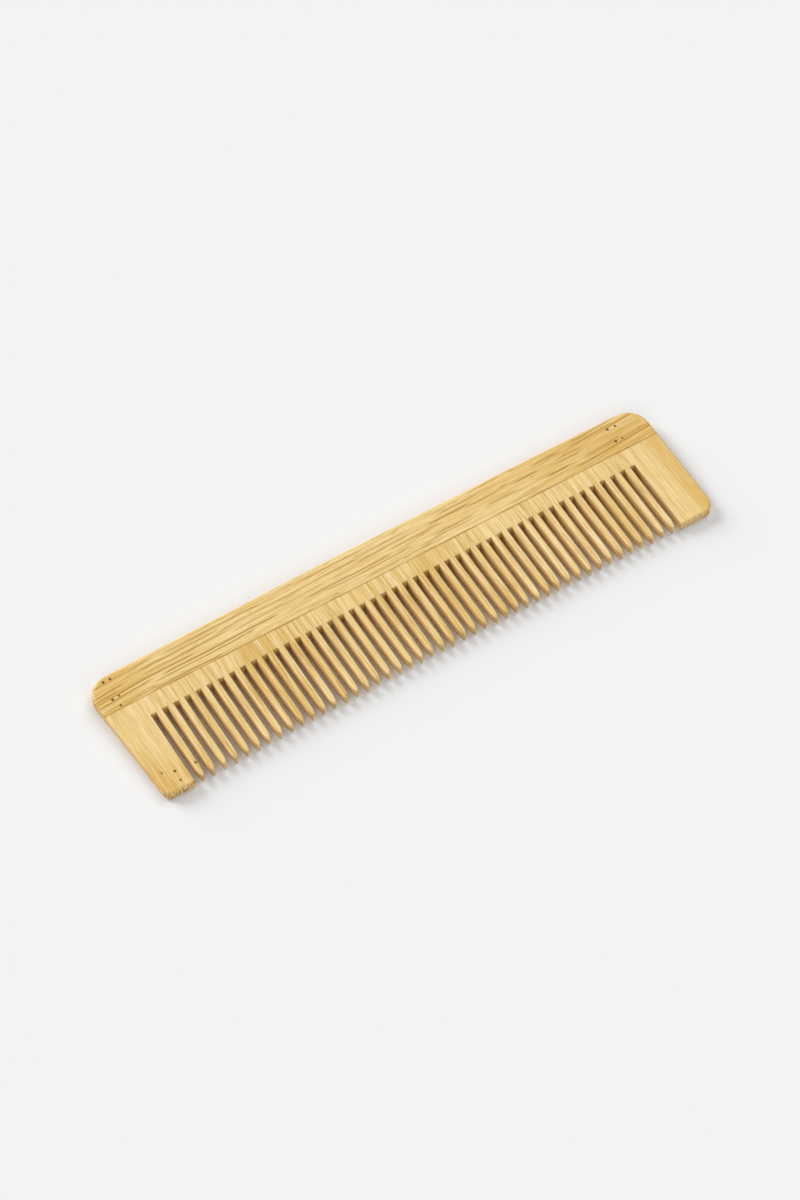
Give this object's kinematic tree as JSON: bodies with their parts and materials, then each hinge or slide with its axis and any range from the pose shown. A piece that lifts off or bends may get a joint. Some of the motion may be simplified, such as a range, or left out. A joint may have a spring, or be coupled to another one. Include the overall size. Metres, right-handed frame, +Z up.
{
  "type": "laminated bamboo comb",
  "caption": "Flat laminated bamboo hair comb: a lengthwise spine strip glued to crosswise slats that carry tapered, evenly spaced teeth between two end guards.",
  "frame": {"origin": "middle of the bounding box at its bottom, on the surface that the comb lies on", "axes": "+X along the comb's length, +Y across it from the teeth towards the spine, +Z up from the face that it lies on"},
  "size_m": [0.18, 0.0419, 0.0042],
  "materials": {
    "spine_bamboo": "satin, grain along the comb, a few dark node marks near both ends",
    "pale_bamboo": "satin, pale, grain along the teeth",
    "amber_bamboo": "satin, amber, grain along the teeth"
  },
  "bodies": {
    "root": {"spine": "spine_bamboo", "left_guard_slat": "pale_bamboo", "tooth_slat_01": "pale_bamboo", "tooth_slat_02": "pale_bamboo", "tooth_slat_03": "pale_bamboo", "tooth_slat_04": "amber_bamboo", "tooth_slat_05": "pale_bamboo", "tooth_slat_06": "pale_bamboo", "tooth_slat_07": "pale_bamboo", "tooth_slat_08": "pale_bamboo", "tooth_slat_09": "pale_bamboo", "tooth_slat_10": "amber_bamboo", "tooth_slat_11": "pale_bamboo", "tooth_slat_12": "pale_bamboo", "tooth_slat_13": "pale_bamboo", "tooth_slat_14": "pale_bamboo", "tooth_slat_15": "pale_bamboo", "tooth_slat_16": "pale_bamboo", "right_guard_inner_slat": "pale_bamboo", "right_guard_edge_slat": "amber_bamboo"}
  },
  "joints": []
}
